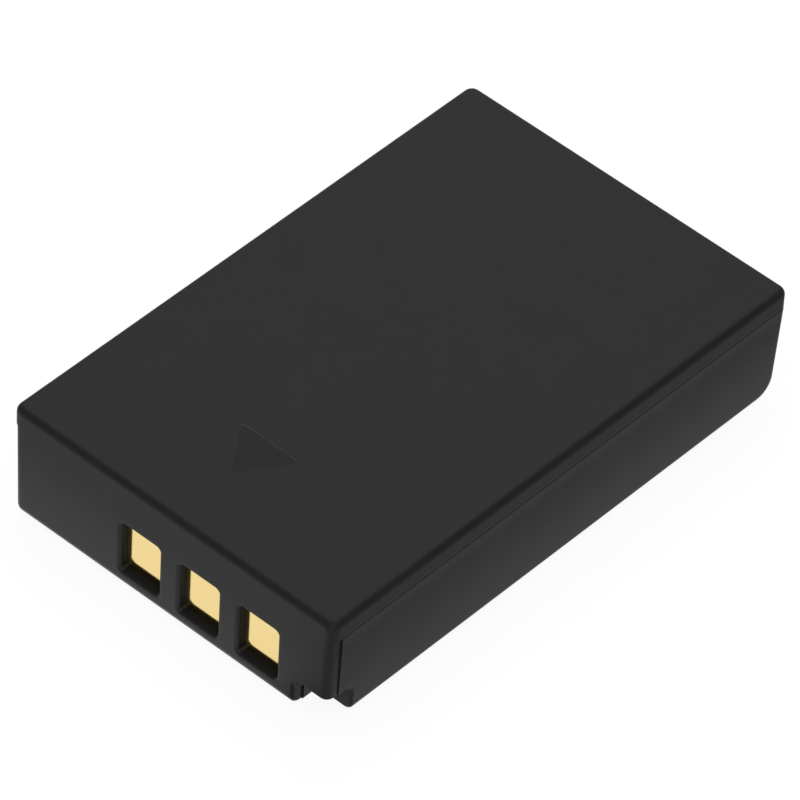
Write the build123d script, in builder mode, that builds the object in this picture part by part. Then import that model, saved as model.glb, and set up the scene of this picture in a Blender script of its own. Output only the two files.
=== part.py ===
from build123d import *
import os

# Two-cell camera battery: a moulded tray and cover with contacts, board and cells inside.
# X runs across the pack, Y along it and Z up. The terminal end faces -Y and the cover is on top.
# The origin is in the middle of the underside. All sizes are in millimetres.

os.makedirs("parts", exist_ok=True)

# Closed pack
length = 55.0
width = 35.4
height = 11.8

# Cover: a lid with a shallow skirt, moulded in one piece with the terminal wall
lid_thickness = 0.9
skirt_height = 1.93
lid_edge_radius = 0.63
lid_corner_radius = 0.9
tongue_depth = 0.5
tongue_wall = 0.4
tongue_clearance = 0.06
tongue_start = 6.0

# Terminal wall
flange_thickness = 1.22
window_depth = 1.3
wall_inset = 0.2
wall_draft = 0.15
wall_bottom_radius = 1.03
wall_corner_radius = 0.75
plug_clearance = 0.1

# Contact windows, counted from the -X side
window_width = 4.2
window_height = 5.25
window_corner = 0.35
window_edge_radius = 0.43
window_pitch = 6.51
window_count = 3
window_to_notch = 3.98
window_sill = 1.775

# Keying notch at the lower +X corner of the terminal end
notch_width = 4.0
notch_depth = 2.88
notch_height = 3.05
notch_wall = 0.75
notch_step = 0.15
notch_edge_radius = 0.3
notch_inner_radius = 0.8

# Triangular insertion mark in the lid
mark_width = 6.3
mark_length = 4.8
mark_setback = 11.62
mark_depth = 0.05
mark_corner = 0.15

# Tray
tray_wall = 0.75
floor_thickness = 0.9
side_overhang = 0.02
side_draft = 0.27
back_draft = 0.42
back_bottom_radius = 2.1
tray_edge_radius = 0.78
seam_radius = 0.2
inner_radius = 0.3
rib_reach = 1.3
rib_thickness = 0.7
rib_below_parting = 0.8

# Contacts and board
contact_lap = 0.4
contact_gap = 0.1
contact_thickness = 0.3
contact_corner = 0.3
board_thickness = 0.8
board_side_gap = 0.45
board_floor_gap = 0.4
board_top_gap = 0.7
board_notch_gap = 0.3
tab_slot_gap = 0.3
insulator_gap = 0.2
insulator_thickness = 0.2

# Cells, tapes and strips
cell_side_gap = 0.22
cell_side_flat = 0.4
cell_end_radius = 0.3
cell_front_gap = 0.4
cell_back_gap = 0.1
base_tape_thickness = 0.15
divider_thickness = 0.15
pad_thickness = 0.3
tape_margin_x = 2.0
tape_margin_y = 4.0
rivet_margin = 1.15
terminal_height = 0.3
plate_width = 4.2
plate_margin = 1.1
plate_x = 10.0
paper_thickness = 0.15
paper_gap = 0.3
paper_margin = 0.5
strip_thickness = 0.15
strip_width = 2.4
tab_foot = 2.0
tab_rib_gap = 1.1
tab_spacing = 2.5

# Parts on the board: offsets are taken from the first window's middle, and two rows hang from the top edge
chip_height = 0.6
chip_size = (0.9, 1.6)
chip_row_drop = 1.5
resistor_count = 5
resistor_pitch = 2.2
resistor_start = -0.2
capacitor_count = 3
capacitor_pitch = 2.3
capacitor_start = 11.0
capacitor_size = (1.25, 2.0)
capacitor_height = 0.85
thermistor_offset = (-0.1, -1.35)
thermistor_size = (1.0, 1.8)
fuse_offset = (-0.1, 1.2)
fuse_size = (3.2, 1.6)
ic_offset = (5.4, 0.45)
ic_body = (1.7, 3.0)
ic_leads_per_side = 3
ic_pitch = 0.95
mosfet_offset = (11.5, 0.45)
mosfet_body = (4.4, 3.0)
mosfet_leads_per_side = 4
mosfet_pitch = 0.65
package_height = 0.95
package_standoff = 0.1
lead_width = 0.3
lead_thickness = 0.15
lead_reach = 0.75

# Room for error when an edge or a face is picked by its place, and how steep an upright edge is
pick_margin = 0.01
upright_slope = 0.9

# Places that follow from the sizes above
front = -length / 2
back_top = length / 2 - side_overhang
back_bottom = back_top - back_draft
parting = height - skirt_height
flange_back = front + flange_thickness
contact_front = front + window_depth
tray_half_top = width / 2 - side_overhang
tray_half_bottom = tray_half_top - side_draft
wall_half_top = width / 2 - wall_inset
wall_half_bottom = wall_half_top - wall_draft
notch_left = width / 2 - notch_width
tray_notch_left = notch_left + notch_step
notch_side_top = notch_height - notch_inner_radius
notch_back = front + notch_depth
housing_left = notch_left - notch_wall
housing_back = notch_back + notch_wall
housing_top = notch_height + notch_wall
window_z = window_sill + window_height / 2
first_window_x = notch_left - window_to_notch - (window_count - 1) * window_pitch
window_places = [(first_window_x + i * window_pitch, window_z) for i in range(window_count)]
contact_width = window_width + 2 * contact_lap
contact_height = window_height + 2 * contact_lap
lid_underside = height - lid_thickness
inner_half = tray_half_bottom - tray_wall
board_front = contact_front + contact_thickness
board_back = board_front + board_thickness
board_half = inner_half - board_side_gap
board_low = floor_thickness + board_floor_gap
board_high = lid_underside - board_top_gap
insulator_front = board_back + package_height + insulator_gap
strip_front = insulator_front + insulator_thickness + cell_front_gap
terminal_front = strip_front + strip_thickness
cell_front = terminal_front + terminal_height
cell_back = back_bottom - back_bottom_radius - cell_back_gap
cell_width = 2 * (inner_half - cell_side_gap)
stack_height = lid_underside - floor_thickness
tape_total = base_tape_thickness + divider_thickness + pad_thickness
cell_thickness = (stack_height - tape_total) / 2
cell_side_radius = (cell_thickness - cell_side_flat) / 2
rivet_radius = cell_thickness / 2 - rivet_margin
plate_height = cell_thickness - 2 * plate_margin
lower_cell_low = floor_thickness + base_tape_thickness
lower_cell_high = lower_cell_low + cell_thickness
upper_cell_low = lower_cell_high + divider_thickness
upper_cell_high = upper_cell_low + cell_thickness
lower_cell_mid = (lower_cell_low + lower_cell_high) / 2
upper_cell_mid = (upper_cell_low + upper_cell_high) / 2
positive_bend_x = rib_reach + tab_rib_gap + tab_foot - inner_half
negative_bend_x = positive_bend_x + tab_spacing
chip_row_z = board_high - chip_row_drop
resistor_places = [
    (first_window_x + resistor_start + i * resistor_pitch, chip_row_z) for i in range(resistor_count)
]
capacitor_places = [
    (first_window_x + capacitor_start + i * capacitor_pitch, chip_row_z) for i in range(capacitor_count)
]


def half_at(z):
    """Half the tray's outer width at a height, between its drafted sides."""
    return tray_half_bottom + side_draft * z / parting


def back_at(z):
    """Place of the tray's drafted back wall at a height."""
    return back_bottom + back_draft * z / parting


def end_plane(y):
    """Plane across the pack at a place along it, seen from the terminal end."""
    return Plane.XZ.offset(-y)


def block(low, high, mode=Mode.ADD):
    """Box between two opposite corners, in the part being built."""
    with Locations(low):
        Box(*[b - a for a, b in zip(low, high)], align=(Align.MIN, Align.MIN, Align.MIN), mode=mode)


def drafted_block(y_front, back_low, back_high, half_low, half_high, z_low, z_high, back_radius):
    """Block with leaning sides and back, and a round lower back edge, in the part being built."""
    with BuildSketch(Plane.YZ) as side_view:
        with BuildLine():
            Polyline(
                (y_front, z_low),
                (back_low, z_low),
                (back_high, z_high),
                (y_front, z_high),
                close=True,
            )
        make_face()
        fillet(side_view.vertices().group_by(Axis.Y)[0].sort_by(Axis.X)[-1], back_radius)
    extrude(side_view.sketch, amount=width, both=True)
    with BuildSketch(Plane.XZ) as end_view:
        with BuildLine():
            Polyline(
                (-half_low, z_low),
                (half_low, z_low),
                (half_high, z_high),
                (-half_high, z_high),
                close=True,
            )
        make_face()
    extrude(end_view.sketch, amount=length, both=True, mode=Mode.INTERSECT)


def face_at(piece, axis, place):
    """Flat face square to an axis at a place along it."""
    square_faces = piece.faces().filter_by(axis)
    return square_faces.filter_by_position(axis, place - pick_margin, place + pick_margin)[0]


def outline_edges(face, x_above=-length, y_above=-length, y_below=length, z_below=length):
    """Edges of a face that lie inside the given limits and not on them."""

    def inside(edge):
        middle = edge.center()
        return (
            middle.X > x_above + pick_margin
            and y_above + pick_margin < middle.Y < y_below - pick_margin
            and middle.Z < z_below - pick_margin
        )

    return face.edges().filter_by(inside)


def finish(piece, name):
    """Names a finished piece and writes it to its own file."""
    piece.part.label = name
    export_step(piece.part, f"parts/{name}.step")


# Top cover: lid, skirt and terminal wall in one moulding, with the contact windows cut through the wall
with BuildPart() as top_cover:
    with BuildSketch(Plane.YZ) as wall_view:
        with BuildLine():
            Polyline((front, 0), (flange_back, 0), (flange_back, parting), (front, parting), close=True)
        make_face()
        fillet(wall_view.vertices().group_by(Axis.Y)[0].sort_by(Axis.X)[0], wall_bottom_radius)
    extrude(amount=width, both=True)
    with BuildSketch(Plane.XZ):
        with BuildLine():
            Polyline(
                (-wall_half_bottom, 0),
                (wall_half_bottom, 0),
                (wall_half_top, parting),
                (-wall_half_top, parting),
                close=True,
            )
        make_face()
    extrude(amount=length, both=True, mode=Mode.INTERSECT)
    block((notch_left, front, 0), (width, flange_back, notch_height), Mode.SUBTRACT)
    pillar_edge = top_cover.faces().sort_by(Axis.X)[-1].edges().sort_by(Axis.Y)[0]
    left_face = top_cover.faces().sort_by(Axis.X)[0]
    left_outline = outline_edges(left_face, y_below=flange_back, z_below=parting)
    fillet([pillar_edge] + left_outline, wall_corner_radius)
    notch_side = face_at(top_cover, Axis.X, notch_left)
    fillet(notch_side.edges().sort_by(Axis.Z)[-1], notch_inner_radius)
    notch_side = face_at(top_cover, Axis.X, notch_left)
    fillet(outline_edges(notch_side, y_below=flange_back, z_below=notch_side_top), notch_edge_radius)
    with BuildSketch(Plane.XY.offset(parting)):
        RectangleRounded(width, length, lid_corner_radius)
    extrude(amount=skirt_height)
    fillet(top_cover.faces().sort_by(Axis.Z)[-1].edges(), lid_edge_radius)
    # Hollow under the lid, and a tongue that hangs inside the tray's sides and back
    tongue_low = parting - tongue_depth
    tongue_half = half_at(tongue_low) - tray_wall - tongue_clearance
    tongue_back = back_at(tongue_low) - tray_wall - tongue_clearance
    hollow_half = tongue_half - tongue_wall
    hollow_back = tongue_back - tongue_wall
    block((-tongue_half, front + tongue_start, tongue_low), (tongue_half, tongue_back, parting))
    tongue_end = face_at(top_cover, Axis.Y, tongue_back)
    fillet(tongue_end.edges().filter_by(Axis.Z), inner_radius)
    hollow_low = (-hollow_half, flange_back, tongue_low)
    block(hollow_low, (hollow_half, hollow_back, lid_underside), Mode.SUBTRACT)
    # Plug that thickens the terminal wall between the tray's sides, with a pocket for each contact
    plug_half = inner_half - plug_clearance
    with BuildSketch(end_plane(flange_back)):
        with BuildLine():
            Polyline(
                (-plug_half, floor_thickness + plug_clearance),
                (housing_left - plug_clearance, floor_thickness + plug_clearance),
                (housing_left - plug_clearance, housing_top + plug_clearance),
                (plug_half, housing_top + plug_clearance),
                (plug_half, lid_underside),
                (-plug_half, lid_underside),
                close=True,
            )
        make_face()
    extrude(amount=-(board_front - flange_back))
    with BuildSketch(end_plane(contact_front)):
        with Locations(*window_places):
            RectangleRounded(
                contact_width + 2 * contact_gap,
                contact_height + 2 * contact_gap,
                contact_corner + contact_gap,
            )
    extrude(amount=-contact_thickness, mode=Mode.SUBTRACT)
    with BuildSketch(end_plane(front)):
        with Locations(*window_places):
            RectangleRounded(window_width, window_height, window_corner)
    extrude(amount=-window_depth, mode=Mode.SUBTRACT)
    terminal_face = top_cover.faces().filter_by(Axis.Y).sort_by(Axis.Y)[0]
    fillet([edge for wire in terminal_face.inner_wires() for edge in wire.edges()], window_edge_radius)
    with BuildSketch(Plane.XY.offset(height)) as mark:
        with BuildLine():
            mark_base = front + mark_setback
            Polyline(
                (-mark_width / 2, mark_base),
                (mark_width / 2, mark_base),
                (0, mark_base - mark_length),
                close=True,
            )
        make_face()
        fillet(mark.vertices(), mark_corner)
    extrude(amount=-mark_depth, mode=Mode.SUBTRACT)
finish(top_cover, "top_cover")

# Space inside the tray, less the housing round the notch and the two ribs that hold the board
with BuildPart() as tray_space:
    drafted_block(
        flange_back,
        back_at(floor_thickness) - tray_wall,
        back_top - tray_wall,
        half_at(floor_thickness) - tray_wall,
        tray_half_top - tray_wall,
        floor_thickness,
        parting,
        back_bottom_radius - tray_wall,
    )
    upright = tray_space.edges().filter_by(lambda edge: abs(edge.tangent_at(0.5).Z) > upright_slope)
    fillet(upright.filter_by_position(Axis.Y, 0, length), inner_radius)
    block((housing_left, flange_back, 0), (width, housing_back, housing_top), Mode.SUBTRACT)
    rib_top = parting - rib_below_parting
    rib_back = board_back + rib_thickness
    for side in (-1, 1):
        rib_left, rib_right = sorted((side * (inner_half - rib_reach), side * width))
        block((rib_left, board_back, 0), (rib_right, rib_back, rib_top), Mode.SUBTRACT)

# Lower case: a drafted tray, open at the top and at the terminal end
with BuildPart() as lower_case:
    drafted_block(
        flange_back,
        back_bottom,
        back_top,
        tray_half_bottom,
        tray_half_top,
        0,
        parting,
        back_bottom_radius,
    )
    side_faces = lower_case.faces().sort_by(Axis.X)
    left_outline = outline_edges(side_faces[0], y_above=flange_back, z_below=parting)
    right_outline = outline_edges(side_faces[-1], y_above=flange_back, z_below=parting)
    fillet(left_outline + right_outline, tray_edge_radius)
    fillet(outline_edges(lower_case.faces().sort_by(Axis.Z)[-1], y_above=flange_back), seam_radius)
    add(tray_space.part, mode=Mode.SUBTRACT)
    # Notch, its inner edges rounded under the roof and its outer edges rounded below
    block((tray_notch_left, front, 0), (width, notch_back, notch_height), Mode.SUBTRACT)
    notch_end = face_at(lower_case, Axis.Y, notch_back)
    notch_side = face_at(lower_case, Axis.X, tray_notch_left)
    roof_edges = [face.edges().sort_by(Axis.Z)[-1] for face in (notch_end, notch_side)]
    fillet(roof_edges, notch_inner_radius)
    notch_end = face_at(lower_case, Axis.Y, notch_back)
    notch_side = face_at(lower_case, Axis.X, tray_notch_left)
    end_outline = outline_edges(notch_end, x_above=tray_notch_left, z_below=notch_side_top)
    fillet(end_outline + notch_side.edges().sort_by(Axis.Z)[:1], notch_edge_radius)
finish(lower_case, "lower_case")

# Contacts: gold-plated plates behind the windows, in the plug's pockets, soldered on the front of the board
contact_names = ["contact_negative", "contact_sense", "contact_positive"]
for name, place in zip(contact_names, window_places):
    with BuildPart() as contact:
        with BuildSketch(end_plane(contact_front)):
            with Locations(place):
                RectangleRounded(contact_width, contact_height, contact_corner)
        extrude(amount=-contact_thickness)
    finish(contact, name)


def board_outline():
    """Outline of the board, less the corner for the notch housing, in the sketch being drawn."""
    with BuildLine() as outline:
        Polyline(
            (-board_half, board_low),
            (housing_left - board_notch_gap, board_low),
            (housing_left - board_notch_gap, housing_top + board_notch_gap),
            (board_half, housing_top + board_notch_gap),
            (board_half, board_high),
            (-board_half, board_high),
            close=True,
        )
    make_face(outline.edges())


# Protection board: stands behind the terminal wall, with a corner cut out for the notch housing
with BuildPart() as protection_board:
    with BuildSketch(end_plane(board_front)):
        board_outline()
    extrude(amount=-board_thickness)
finish(protection_board, "protection_board")


def on_board(offset):
    """Place on the board, from an offset to the first window's middle."""
    return (first_window_x + offset[0], window_z + offset[1])


def chips(places, size, thickness):
    """Plain chips on the back of the board, in the part being built."""
    with BuildSketch(end_plane(board_back)) as bodies:
        with Locations(*places):
            Rectangle(*size)
    extrude(bodies.sketch, amount=-thickness)


def lead_package(place, body, leads_per_side, pitch):
    """Chip package with bent leads along its two upright sides, in the part being built."""
    x, z = place
    with BuildSketch(end_plane(board_back + package_standoff)) as body_outline:
        with Locations(place):
            Rectangle(*body)
    extrude(body_outline.sketch, amount=-(package_height - package_standoff))
    knee = board_back + package_height / 2
    first_lead = z - pitch * (leads_per_side - 1) / 2
    for i in range(leads_per_side):
        for side in (-1, 1):
            edge = x + side * body[0] / 2
            shin = edge + side * lead_reach / 3
            toe = edge + side * lead_reach
            with BuildSketch(Plane.XY.offset(first_lead + i * pitch)) as lead:
                with BuildLine():
                    Polyline(
                        (edge, knee),
                        (shin + side * lead_thickness, knee),
                        (shin + side * lead_thickness, board_back + lead_thickness),
                        (toe, board_back + lead_thickness),
                        (toe, board_back),
                        (shin, board_back),
                        (shin, knee - lead_thickness),
                        (edge, knee - lead_thickness),
                        close=True,
                    )
                make_face()
            extrude(lead.sketch, amount=lead_width / 2, both=True)


with BuildPart() as protection_ic:
    lead_package(on_board(ic_offset), ic_body, ic_leads_per_side, ic_pitch)
finish(protection_ic, "protection_ic")

with BuildPart() as mosfet_pair:
    lead_package(on_board(mosfet_offset), mosfet_body, mosfet_leads_per_side, mosfet_pitch)
finish(mosfet_pair, "mosfet_pair")

with BuildPart() as chip_resistors:
    chips(resistor_places, chip_size, chip_height)
finish(chip_resistors, "chip_resistors")

with BuildPart() as chip_capacitors:
    chips(capacitor_places, capacitor_size, capacitor_height)
finish(chip_capacitors, "chip_capacitors")

with BuildPart() as thermistor:
    chips([on_board(thermistor_offset)], thermistor_size, chip_height)
finish(thermistor, "thermistor")

with BuildPart() as chip_fuse:
    chips([on_board(fuse_offset)], fuse_size, chip_height)
finish(chip_fuse, "chip_fuse")


# Cells: drawn cans with a rounded closed end, and a lid with a rivet terminal and a weld plate at the board
def cell(z_mid, plate_side):
    """One can lying flat, with its weld plate towards the given side of its rivet."""
    with BuildPart() as can:
        with BuildSketch(end_plane(cell_front)):
            with Locations((0, z_mid)):
                RectangleRounded(cell_width, cell_thickness, cell_side_radius)
        extrude(amount=-(cell_back - cell_front))
        fillet(can.faces().sort_by(Axis.Y)[-1].edges(), cell_end_radius)
        with BuildSketch(end_plane(cell_front)):
            with Locations((0, z_mid)):
                Circle(rivet_radius)
            with Locations((plate_side * plate_x, z_mid)):
                Rectangle(plate_width, plate_height)
        extrude(amount=terminal_height)
    return can


finish(cell(lower_cell_mid, 1), "cell_lower")
finish(cell(upper_cell_mid, -1), "cell_upper")


# Insulating papers: stuck on the cells' terminal ends, with holes for the rivet and the weld plate
def cell_paper(z_mid, plate_side):
    """Paper on one cell's end."""
    with BuildPart() as paper:
        with BuildSketch(end_plane(cell_front)):
            with Locations((0, z_mid)):
                RectangleRounded(
                    cell_width - 2 * paper_margin,
                    cell_thickness - 2 * paper_margin,
                    cell_side_radius - paper_margin,
                )
                Circle(rivet_radius + paper_gap, mode=Mode.SUBTRACT)
            with Locations((plate_side * plate_x, z_mid)):
                Rectangle(plate_width + 2 * paper_gap, plate_height + 2 * paper_gap, mode=Mode.SUBTRACT)
        extrude(amount=paper_thickness)
    return paper


finish(cell_paper(lower_cell_mid, 1), "lower_cell_paper")
finish(cell_paper(upper_cell_mid, -1), "upper_cell_paper")

# Series link: a nickel strip from the upper cell's rivet down to the lower cell's weld plate
with BuildPart() as series_link:
    with BuildSketch(end_plane(terminal_front)):
        with BuildLine():
            half_strip = strip_width / 2
            Polyline(
                (-half_strip, upper_cell_mid - half_strip),
                (plate_x - half_strip, upper_cell_mid - half_strip),
                (plate_x - half_strip, lower_cell_mid - half_strip),
                (plate_x + half_strip, lower_cell_mid - half_strip),
                (plate_x + half_strip, upper_cell_mid + half_strip),
                (-half_strip, upper_cell_mid + half_strip),
                close=True,
            )
        make_face()
    extrude(amount=strip_thickness)
finish(series_link, "series_link")


def board_tab(start_x, bend_x, z_mid):
    """Nickel strip from a cell's terminal, bent towards the board and folded flat on its back."""
    foot_end = bend_x - tab_foot
    with BuildPart() as tab:
        with BuildSketch(Plane.XY.offset(z_mid)):
            with BuildLine():
                Polyline(
                    (start_x, terminal_front),
                    (bend_x, terminal_front),
                    (bend_x, board_back + strip_thickness),
                    (foot_end, board_back + strip_thickness),
                    (foot_end, board_back),
                    (bend_x + strip_thickness, board_back),
                    (bend_x + strip_thickness, strip_front),
                    (start_x, strip_front),
                    close=True,
                )
            make_face()
        extrude(amount=strip_width / 2, both=True)
    return tab


finish(board_tab(-plate_x + strip_width, positive_bend_x, upper_cell_mid), "positive_tab")
finish(board_tab(strip_width / 2, negative_bend_x, lower_cell_mid), "negative_tab")

# Board insulator: a card between the board's parts and the cells, slotted for the two tabs
with BuildPart() as board_insulator:
    with BuildSketch(end_plane(insulator_front)):
        board_outline()
        slot_size = (strip_thickness + 2 * tab_slot_gap, strip_width + 2 * tab_slot_gap)
        positive_slot = (positive_bend_x + strip_thickness / 2, upper_cell_mid)
        negative_slot = (negative_bend_x + strip_thickness / 2, lower_cell_mid)
        with Locations(positive_slot, negative_slot):
            Rectangle(*slot_size, mode=Mode.SUBTRACT)
    extrude(amount=-insulator_thickness)
finish(board_insulator, "board_insulator")


# Tapes under and between the cells, and a foam pad between the upper cell and the lid
def flat_pad(z_low, thickness):
    """Thin sheet over the middle of the cells."""
    sheet_width = cell_width - 2 * (cell_side_radius + tape_margin_x)
    sheet_length = cell_back - cell_front - 2 * tape_margin_y
    with BuildPart() as pad:
        with BuildSketch(Plane.XY.offset(z_low)):
            with Locations((0, (cell_front + cell_back) / 2)):
                Rectangle(sheet_width, sheet_length)
        extrude(amount=thickness)
    return pad


finish(flat_pad(floor_thickness, base_tape_thickness), "base_tape")
finish(flat_pad(lower_cell_high, divider_thickness), "cell_divider")
finish(flat_pad(upper_cell_high, pad_thickness), "cover_pad")
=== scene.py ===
import math

import bpy
from mathutils import Matrix, Vector


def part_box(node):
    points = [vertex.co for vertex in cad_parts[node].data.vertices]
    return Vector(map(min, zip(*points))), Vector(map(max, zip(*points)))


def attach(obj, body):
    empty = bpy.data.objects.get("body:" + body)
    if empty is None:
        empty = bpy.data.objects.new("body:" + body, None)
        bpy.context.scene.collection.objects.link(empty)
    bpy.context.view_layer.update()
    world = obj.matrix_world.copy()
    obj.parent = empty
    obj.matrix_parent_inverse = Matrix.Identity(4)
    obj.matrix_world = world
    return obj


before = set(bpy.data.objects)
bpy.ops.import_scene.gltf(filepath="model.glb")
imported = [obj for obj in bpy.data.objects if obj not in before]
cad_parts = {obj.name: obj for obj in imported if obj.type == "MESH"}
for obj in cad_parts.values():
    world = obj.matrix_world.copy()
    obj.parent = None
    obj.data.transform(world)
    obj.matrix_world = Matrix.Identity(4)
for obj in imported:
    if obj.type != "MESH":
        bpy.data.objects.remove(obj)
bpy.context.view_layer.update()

# Lower case: a drafted tray, open at the top and at the terminal end.
# Injection moulded in black plastic, with the fine satin texture that a spark-eroded mould leaves.
# It is a little smoother towards its underside and at the rim that the cover is welded on.
plastic_black = (0.0090, 0.0090, 0.0093, 1.0)
plastic_sheen = (0.0108, 0.0108, 0.0111, 1.0)
base_polish_from = 0.0085
base_polish = 0.20
rim_polish_from = 0.0083
rim_polish_to = 0.0098
rim_polish = 0.11


def new_group(name, inputs, outputs):
    """Empty shader group with float inputs and the given outputs, and its two end nodes."""
    group = bpy.data.node_groups.new(name, "ShaderNodeTree")
    for label, value in inputs.items():
        socket = group.interface.new_socket(label, in_out="INPUT", socket_type="NodeSocketFloat")
        socket.default_value = value
    for label in outputs:
        group.interface.new_socket(label, in_out="OUTPUT", socket_type="NodeSocketFloat")
    return group, group.nodes.new("NodeGroupInput"), group.nodes.new("NodeGroupOutput")


def grain_group():
    """Fine grain of a moulded or drawn surface, and broad patches where it is a little smoother."""
    group, inputs, outputs = new_group(
        "surface_grain", {"Grain": 9000.0, "Patch": 260.0, "Stretch": 1.0}, ["Height", "Patches"]
    )
    place = group.nodes.new("ShaderNodeTexCoord")
    scale = group.nodes.new("ShaderNodeCombineXYZ")
    scale.inputs["Y"].default_value = 1.0
    scale.inputs["Z"].default_value = 1.0
    stretched = group.nodes.new("ShaderNodeVectorMath")
    stretched.operation = "MULTIPLY"
    grain = group.nodes.new("ShaderNodeTexNoise")
    grain.inputs["Detail"].default_value = 3.0
    grain.inputs["Roughness"].default_value = 0.6
    patches = group.nodes.new("ShaderNodeTexNoise")
    patches.inputs["Detail"].default_value = 2.0
    links = group.links
    links.new(inputs.outputs["Stretch"], scale.inputs["X"])
    links.new(place.outputs["Object"], stretched.inputs[0])
    links.new(scale.outputs["Vector"], stretched.inputs[1])
    links.new(stretched.outputs["Vector"], grain.inputs["Vector"])
    links.new(place.outputs["Object"], patches.inputs["Vector"])
    links.new(inputs.outputs["Grain"], grain.inputs["Scale"])
    links.new(inputs.outputs["Patch"], patches.inputs["Scale"])
    links.new(grain.outputs["Fac"], outputs.inputs["Height"])
    links.new(patches.outputs["Fac"], outputs.inputs["Patches"])
    return group


surface_grain = grain_group()


def new_finish(name, colours, roughness, grain, patch, depth, stretch=1.0, metallic=0.0, specular=0.5):
    """Material with grain in its bump, and patches that change its colour and roughness a little.

    Grain and patches are counted per metre, and the grain's depth is in metres.
    """
    material = bpy.data.materials.new(name)
    material.use_nodes = True
    nodes = material.node_tree.nodes
    links = material.node_tree.links
    shader = nodes["Principled BSDF"]
    shader.inputs["Metallic"].default_value = metallic
    shader.inputs["Specular IOR Level"].default_value = specular
    texture = nodes.new("ShaderNodeGroup")
    texture.node_tree = surface_grain
    texture.inputs["Grain"].default_value = grain
    texture.inputs["Patch"].default_value = patch
    texture.inputs["Stretch"].default_value = stretch
    colour = nodes.new("ShaderNodeMix")
    colour.data_type = "RGBA"
    colour.inputs["A"].default_value = colours[0]
    colour.inputs["B"].default_value = colours[1]
    rough = nodes.new("ShaderNodeMapRange")
    rough.inputs["To Min"].default_value = roughness[0]
    rough.inputs["To Max"].default_value = roughness[1]
    bump = nodes.new("ShaderNodeBump")
    bump.inputs["Distance"].default_value = depth
    links.new(texture.outputs["Patches"], colour.inputs["Factor"])
    links.new(colour.outputs["Result"], shader.inputs["Base Color"])
    links.new(texture.outputs["Patches"], rough.inputs["Value"])
    links.new(rough.outputs["Result"], shader.inputs["Roughness"])
    links.new(texture.outputs["Height"], bump.inputs["Height"])
    links.new(bump.outputs["Normal"], shader.inputs["Normal"])
    return material


def dress(material, *names):
    """Gives a material to the named pieces."""
    for name in names:
        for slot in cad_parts[name].material_slots:
            slot.material = material


def add_to_roughness(material, socket):
    """Adds a value that changes over the surface to a finish's roughness."""
    shader = material.node_tree.nodes["Principled BSDF"]
    total = material.node_tree.nodes.new("ShaderNodeMath")
    links = material.node_tree.links
    links.new(shader.inputs["Roughness"].links[0].from_socket, total.inputs[0])
    links.new(socket, total.inputs[1])
    links.new(total.outputs["Value"], shader.inputs["Roughness"])


def polish_towards(material, start, end, change):
    """Makes a finish smoother, little by little, from one height to another."""
    nodes = material.node_tree.nodes
    links = material.node_tree.links
    place = nodes.new("ShaderNodeTexCoord")
    axes = nodes.new("ShaderNodeSeparateXYZ")
    rub = nodes.new("ShaderNodeMapRange")
    rub.inputs["From Min"].default_value = start
    rub.inputs["From Max"].default_value = end
    rub.inputs["To Max"].default_value = -change
    links.new(place.outputs["Object"], axes.inputs["Vector"])
    links.new(axes.outputs["Z"], rub.inputs["Value"])
    add_to_roughness(material, rub.outputs["Result"])


case_plastic = new_finish(
    "case_plastic",
    colours=(plastic_black, plastic_sheen),
    roughness=(0.49, 0.55),
    grain=9000.0,
    patch=260.0,
    depth=0.000012,
    specular=0.2,
)
polish_towards(case_plastic, base_polish_from, 0.0, base_polish)
tray_plastic = case_plastic.copy()
tray_plastic.name = "tray_plastic"
polish_towards(tray_plastic, rim_polish_from, rim_polish_to, rim_polish)
dress(tray_plastic, "lower_case")

# Base tape and cell divider: strips of white double-sided tape, cut from a roll.
# One holds the lower cell on the tray's floor, and one holds the cells together.
tape = new_finish(
    "adhesive_tape",
    colours=((0.74, 0.74, 0.70, 1.0), (0.82, 0.82, 0.78, 1.0)),
    roughness=(0.55, 0.70),
    grain=2500.0,
    patch=120.0,
    depth=0.00002,
)
dress(tape, "base_tape", "cell_divider")

# Cells: two sealed prismatic cans of deep-drawn aluminium, laid one on the other.
# The draw leaves fine lines along each can.
can = new_finish(
    "cell_can",
    colours=((0.66, 0.67, 0.69, 1.0), (0.74, 0.75, 0.77, 1.0)),
    roughness=(0.28, 0.42),
    grain=2500.0,
    patch=90.0,
    depth=0.000008,
    stretch=12.0,
    metallic=1.0,
)
dress(can, "cell_lower", "cell_upper")

# Insulating papers and card: grey-green fibre paper with adhesive on its back, die-cut.
# They keep the strips and the board's parts off the cans.
paper = new_finish(
    "fibre_paper",
    colours=((0.22, 0.33, 0.29, 1.0), (0.30, 0.42, 0.37, 1.0)),
    roughness=(0.75, 0.90),
    grain=6000.0,
    patch=500.0,
    depth=0.00003,
)
dress(paper, "lower_cell_paper", "upper_cell_paper", "board_insulator")

# Strips: rolled nickel, punched and bent, spot welded on the cells' terminals.
# They join the cells in series and lead to the board.
nickel = new_finish(
    "nickel_strip",
    colours=((0.58, 0.56, 0.51, 1.0), (0.68, 0.66, 0.60, 1.0)),
    roughness=(0.25, 0.40),
    grain=3500.0,
    patch=300.0,
    depth=0.000006,
    stretch=10.0,
    metallic=1.0,
)
dress(nickel, "series_link", "positive_tab", "negative_tab")

# Protection board: glass-fibre laminate under green solder mask, standing behind the terminal wall.
# It carries the contacts in front and the protection circuit on its back.
laminate = new_finish(
    "board_laminate",
    colours=((0.010, 0.085, 0.032, 1.0), (0.016, 0.125, 0.050, 1.0)),
    roughness=(0.28, 0.40),
    grain=4000.0,
    patch=350.0,
    depth=0.00001,
)
dress(laminate, "protection_board")

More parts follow.
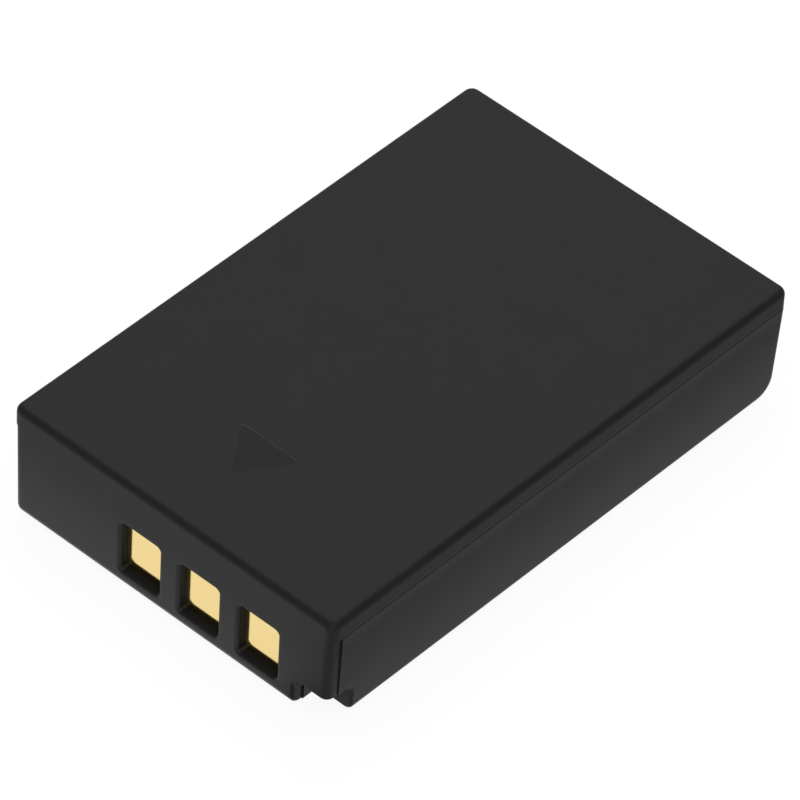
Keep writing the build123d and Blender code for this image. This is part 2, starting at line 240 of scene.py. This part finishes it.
# Chips: moulded epoxy packages and small ceramic bodies, reflow soldered on the board.
# The resistors, the circuit and the switch pair are black, and the rest is buff ceramic.
epoxy = new_finish(
    "chip_black",
    colours=((0.018, 0.018, 0.019, 1.0), (0.028, 0.028, 0.029, 1.0)),
    roughness=(0.50, 0.65),
    grain=7000.0,
    patch=800.0,
    depth=0.00001,
)
dress(epoxy, "protection_ic", "mosfet_pair", "chip_resistors")
ceramic = new_finish(
    "chip_ceramic",
    colours=((0.42, 0.31, 0.19, 1.0), (0.50, 0.38, 0.25, 1.0)),
    roughness=(0.30, 0.45),
    grain=5000.0,
    patch=900.0,
    depth=0.000008,
)
dress(ceramic, "chip_capacitors", "thermistor", "chip_fuse")

# Contacts: gold-plated plates soldered on the front of the board, seen through the cover's windows.
# Each has a raised pad, coined in its middle, that stands in the window a little behind the case's face.
# The plating is bright, with faint lines from rolling.
contact_names = ("contact_negative", "contact_sense", "contact_positive")
pad_margin = 0.00042
pad_rise = 0.00048
pad_corner = 0.00033
pad_corner_steps = 6
pad_edge = 0.00002
pad_edge_steps = 2
pad_smooth_angle = math.radians(20)
gold = new_finish(
    "contact_gold",
    colours=((0.86, 0.655, 0.275, 1.0), (0.89, 0.69, 0.305, 1.0)),
    roughness=(0.06, 0.10),
    grain=5000.0,
    patch=420.0,
    depth=0.000001,
    stretch=6.0,
    metallic=1.0,
)
dress(gold, *contact_names)
plate_low, plate_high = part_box(contact_names[0])
pad_low = plate_low + Vector((pad_margin, -pad_rise, pad_margin))
pad_high = Vector((plate_high.x - pad_margin, plate_low.y, plate_high.z - pad_margin))
bpy.ops.object.select_all(action="DESELECT")
bpy.ops.mesh.primitive_cube_add(size=1.0, location=(pad_low + pad_high) / 2)
first_pad = bpy.context.active_object
first_pad.scale = pad_high - pad_low
bpy.ops.object.transform_apply(location=True, rotation=True, scale=True)
bpy.ops.object.mode_set(mode="EDIT")
bpy.ops.mesh.select_mode(type="EDGE")
bpy.ops.mesh.select_all(action="DESELECT")
bpy.ops.object.mode_set(mode="OBJECT")
for edge in first_pad.data.edges:
    ends = [first_pad.data.vertices[index].co for index in edge.vertices]
    edge.select = abs(ends[0].y - ends[1].y) > pad_rise / 2
bpy.ops.object.mode_set(mode="EDIT")
bpy.ops.mesh.bevel(offset=pad_corner, segments=pad_corner_steps, affect="EDGES")
bpy.ops.object.mode_set(mode="OBJECT")
rim = first_pad.modifiers.new("rim", "BEVEL")
rim.width = pad_edge
rim.segments = pad_edge_steps
rim.limit_method = "ANGLE"
bpy.ops.object.modifier_apply(modifier=rim.name)
bpy.ops.object.shade_smooth_by_angle(angle=pad_smooth_angle)
first_pad.data.materials.append(gold)
pads = [first_pad]
for name in contact_names[1:]:
    pad = first_pad.copy()
    pad.data = first_pad.data.copy()
    pad.data.transform(Matrix.Translation(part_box(name)[0] - plate_low))
    bpy.context.scene.collection.objects.link(pad)
    pads.append(pad)
for name, pad in zip(contact_names, pads):
    pad.name = name + "_pad"
    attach(pad, "root")

# Cover pad: a strip of dark closed-cell foam between the upper cell and the lid.
# It is cut from sheet and held by its own adhesive.
foam = new_finish(
    "foam_pad",
    colours=((0.040, 0.040, 0.045, 1.0), (0.060, 0.060, 0.066, 1.0)),
    roughness=(0.85, 0.95),
    grain=3500.0,
    patch=300.0,
    depth=0.00008,
)
dress(foam, "cover_pad")

# Top cover: lid, skirt and terminal wall in one moulding, in the tray's plastic.
# It has the contact windows and a debossed mark for the way in, and is welded on the tray.
# The mark's floor and the windows' walls are duller than the rest. The mark's edges carry a painted
# highlight: a lighter grey in their base colour, standing in for a glint on a debossed edge.
cover_low, cover_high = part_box("top_cover")
mark_middle = Vector((0.0, -0.0183, cover_high.z))
mark_reach = 0.0044
mark_edge = cover_high.z - 0.000002
mark_floor = cover_high.z - 0.000045
# Painted highlight: the grey that the mark's edges take in their base colour.
mark_edge_painted_highlight = (0.30, 0.30, 0.30, 1.0)
mark_dullness = 0.06
window_front = cover_low.y + 0.00035
window_side = 0.016
window_low = 0.0022
window_high = 0.0085
window_dullness = 0.22
cover_plastic = case_plastic.copy()
cover_plastic.name = "cover_plastic"
cover_nodes = cover_plastic.node_tree.nodes
cover_links = cover_plastic.node_tree.links
cover_colour = cover_nodes["Principled BSDF"].inputs["Base Color"]
cover_place = cover_nodes.new("ShaderNodeTexCoord")
cover_axes = cover_nodes.new("ShaderNodeSeparateXYZ")
cover_links.new(cover_place.outputs["Object"], cover_axes.inputs["Vector"])
cover_x, cover_y, cover_z = cover_axes.outputs
from_mark = cover_nodes.new("ShaderNodeVectorMath")
from_mark.operation = "DISTANCE"
from_mark.inputs[1].default_value = mark_middle
cover_links.new(cover_place.outputs["Object"], from_mark.inputs[0])


def cover_math(operation, first, second):
    """One calculation on two values in the cover's finish, each a socket or a number."""
    node = cover_nodes.new("ShaderNodeMath")
    node.operation = operation
    for socket, value in zip(node.inputs, (first, second)):
        if isinstance(value, float):
            socket.default_value = value
        else:
            cover_links.new(value, socket)
    return node.outputs["Value"]


near_mark = cover_math("LESS_THAN", from_mark.outputs["Value"], mark_reach)
in_mark = cover_math("MULTIPLY", near_mark, cover_math("LESS_THAN", cover_z, mark_edge))
on_mark_floor = cover_math("MULTIPLY", near_mark, cover_math("LESS_THAN", cover_z, mark_floor))
painted_highlight_mask = cover_math("SUBTRACT", in_mark, on_mark_floor)
add_to_roughness(cover_plastic, cover_math("MULTIPLY", on_mark_floor, mark_dullness))
in_window = cover_math("GREATER_THAN", cover_y, window_front)
for limit in (
    cover_math("GREATER_THAN", cover_z, window_low),
    cover_math("LESS_THAN", cover_z, window_high),
    cover_math("LESS_THAN", cover_math("ABSOLUTE", cover_x, 0.0), window_side),
):
    in_window = cover_math("MULTIPLY", in_window, limit)
add_to_roughness(cover_plastic, cover_math("MULTIPLY", in_window, window_dullness))
# Painted highlight: the mark's edge band is mixed to a lighter grey in the base colour.
painted_highlight_colour = cover_nodes.new("ShaderNodeMix")
painted_highlight_colour.data_type = "RGBA"
painted_highlight_colour.inputs["B"].default_value = mark_edge_painted_highlight
cover_links.new(painted_highlight_mask, painted_highlight_colour.inputs["Factor"])
cover_links.new(cover_colour.links[0].from_socket, painted_highlight_colour.inputs["A"])
cover_links.new(painted_highlight_colour.outputs["Result"], cover_colour)
dress(cover_plastic, "top_cover")

# Floor: a plain pale sheet a hair below the pack, in the same white as the background.
# It is white to the camera and in reflections, and keeps a soft part of the pack's shadow.
# Its glow in reflections carries a painted shadow: it is darker beside the pack's notched side and
# around the notch.
floor_size = 3.0
floor_drop = 0.00002
floor_white = (0.90, 0.90, 0.90, 1.0)
floor_roughness = 0.9
floor_specular = 0.1
floor_glow = 0.92
# Painted shade on the floor's glow in reflections: it dims with x beside the notched side and is darkest
# around the notch's corner.
floor_bright_x = 0.007
floor_dim_x = 0.020
floor_painted_shade = 0.63
corner_shade_place = Vector((0.0155, -0.0290, 0.0))
corner_shade_core = 0.001
corner_shade_reach = 0.0055
corner_shade = 0.42
bpy.ops.object.select_all(action="DESELECT")
bpy.ops.mesh.primitive_plane_add(size=floor_size, location=(0.0, 0.0, -floor_drop))
floor = bpy.context.active_object
floor.name = "floor"
floor_paint = bpy.data.materials.new("floor_white")
floor_paint.use_nodes = True
floor_nodes = floor_paint.node_tree.nodes
floor_links = floor_paint.node_tree.links
floor_shader = floor_nodes["Principled BSDF"]
floor_shader.inputs["Base Color"].default_value = floor_white
floor_shader.inputs["Roughness"].default_value = floor_roughness
floor_shader.inputs["Specular IOR Level"].default_value = floor_specular
floor_place = floor_nodes.new("ShaderNodeTexCoord")
floor_axes = floor_nodes.new("ShaderNodeSeparateXYZ")
floor_links.new(floor_place.outputs["Object"], floor_axes.inputs["Vector"])
from_corner = floor_nodes.new("ShaderNodeVectorMath")
from_corner.operation = "DISTANCE"
from_corner.inputs[1].default_value = corner_shade_place
floor_links.new(floor_place.outputs["Object"], from_corner.inputs[0])


def floor_fade(socket, start, end, start_level, end_level):
    """Level that passes smoothly from one value to another as a measure on the floor grows."""
    fade = floor_nodes.new("ShaderNodeMapRange")
    fade.interpolation_type = "SMOOTHSTEP"
    fade.inputs["From Min"].default_value = start
    fade.inputs["From Max"].default_value = end
    fade.inputs["To Min"].default_value = start_level
    fade.inputs["To Max"].default_value = end_level
    floor_links.new(socket, fade.inputs["Value"])
    return fade.outputs["Result"]


# Painted shadow: these levels lower the floor's glow in reflections beside the notched side and around
# the notch.
painted_side_shade = floor_fade(floor_axes.outputs["X"], floor_bright_x, floor_dim_x, 1.0, floor_painted_shade)
painted_corner_shadow = floor_fade(
    from_corner.outputs["Value"], corner_shade_core, corner_shade_reach, corner_shade, 1.0
)
painted_shade_level = floor_nodes.new("ShaderNodeMath")
painted_shade_level.operation = "MULTIPLY"
floor_links.new(painted_side_shade, painted_shade_level.inputs[0])
floor_links.new(painted_corner_shadow, painted_shade_level.inputs[1])
rays = floor_nodes.new("ShaderNodeLightPath")
floor_level = floor_nodes.new("ShaderNodeMix")
floor_level.inputs["A"].default_value = 1.0
floor_links.new(rays.outputs["Is Glossy Ray"], floor_level.inputs["Factor"])
floor_links.new(painted_shade_level.outputs["Value"], floor_level.inputs["B"])
glow = floor_nodes.new("ShaderNodeEmission")
floor_links.new(floor_level.outputs["Result"], glow.inputs["Strength"])
share = floor_nodes.new("ShaderNodeMath")
share.operation = "MULTIPLY_ADD"
share.inputs[1].default_value = floor_glow
floor_links.new(rays.outputs["Is Camera Ray"], share.inputs[0])
floor_links.new(rays.outputs["Is Glossy Ray"], share.inputs[2])
blend = floor_nodes.new("ShaderNodeMixShader")
floor_links.new(share.outputs["Value"], blend.inputs["Fac"])
floor_links.new(floor_shader.outputs["BSDF"], blend.inputs[1])
floor_links.new(glow.outputs["Emission"], blend.inputs[2])
floor_links.new(blend.outputs["Shader"], floor_nodes["Material Output"].inputs["Surface"])
floor.data.materials.append(floor_paint)

# Light: a softbox behind that the lid reflects, one on the camera's side, a broad one overhead,
# and a dim room. The overhead one is kept out of reflections, so that the rounded near edges stay dark.
room_white = (1.0, 1.0, 1.0, 1.0)
room_level = 0.15
world = bpy.data.worlds.new("studio")
bpy.context.scene.world = world
world.use_nodes = True
world_nodes = world.node_tree.nodes
world_links = world.node_tree.links
room = world_nodes["Background"]
room.inputs["Color"].default_value = room_white
seen = world_nodes.new("ShaderNodeLightPath")
strength = world_nodes.new("ShaderNodeMapRange")
strength.inputs["To Min"].default_value = room_level
strength.inputs["To Max"].default_value = 1.0
world_links.new(seen.outputs["Is Camera Ray"], strength.inputs["Value"])
world_links.new(strength.outputs["Result"], room.inputs["Strength"])


def softbox(name, place, size, power):
    """Square area lamp at a place, aimed at the pack."""
    lamp = bpy.data.lights.new(name, "AREA")
    lamp.shape = "SQUARE"
    lamp.size = size
    lamp.energy = power
    holder = bpy.data.objects.new(name, lamp)
    bpy.context.scene.collection.objects.link(holder)
    holder.location = place
    holder.rotation_euler = (-Vector(place)).to_track_quat("-Z", "Y").to_euler()
    return holder


softbox("back_softbox", place=(-0.56, 0.66, 0.84), size=0.9, power=4.4)
softbox("front_softbox", place=(0.60, -0.70, 0.62), size=0.9, power=4.3)
overhead = softbox("overhead_softbox", place=(0.0, 0.0, 1.2), size=1.2, power=14.0)
overhead.visible_glossy = False

# Camera: stands off the notched corner of the terminal end and looks down on the lid.
# Angles are in degrees, distances in metres and the lens in millimetres.
camera_azimuth = math.radians(40.2652)
camera_elevation = math.radians(44.3932)
camera_roll = math.radians(3.4210)
camera_distance = 0.6399731
camera_target = Vector((0.0000612, -0.0003253, 0.0059))
camera_lens = 352.0217
back = Vector(
    (
        math.sin(camera_azimuth) * math.cos(camera_elevation),
        -math.cos(camera_azimuth) * math.cos(camera_elevation),
        math.sin(camera_elevation),
    )
)
level_right = (-back).cross(Vector((0.0, 0.0, 1.0))).normalized()
level_up = back.cross(level_right)
right = level_right * math.cos(camera_roll) + level_up * math.sin(camera_roll)
up = level_up * math.cos(camera_roll) - level_right * math.sin(camera_roll)
camera_data = bpy.data.cameras.new("camera")
camera_data.lens = camera_lens
camera = bpy.data.objects.new("camera", camera_data)
bpy.context.scene.collection.objects.link(camera)
turn = Matrix((right, up, back)).transposed().to_4x4()
camera.matrix_world = Matrix.Translation(camera_target + back * camera_distance) @ turn
bpy.context.scene.camera = camera
bpy.context.scene.view_settings.view_transform = "Standard"
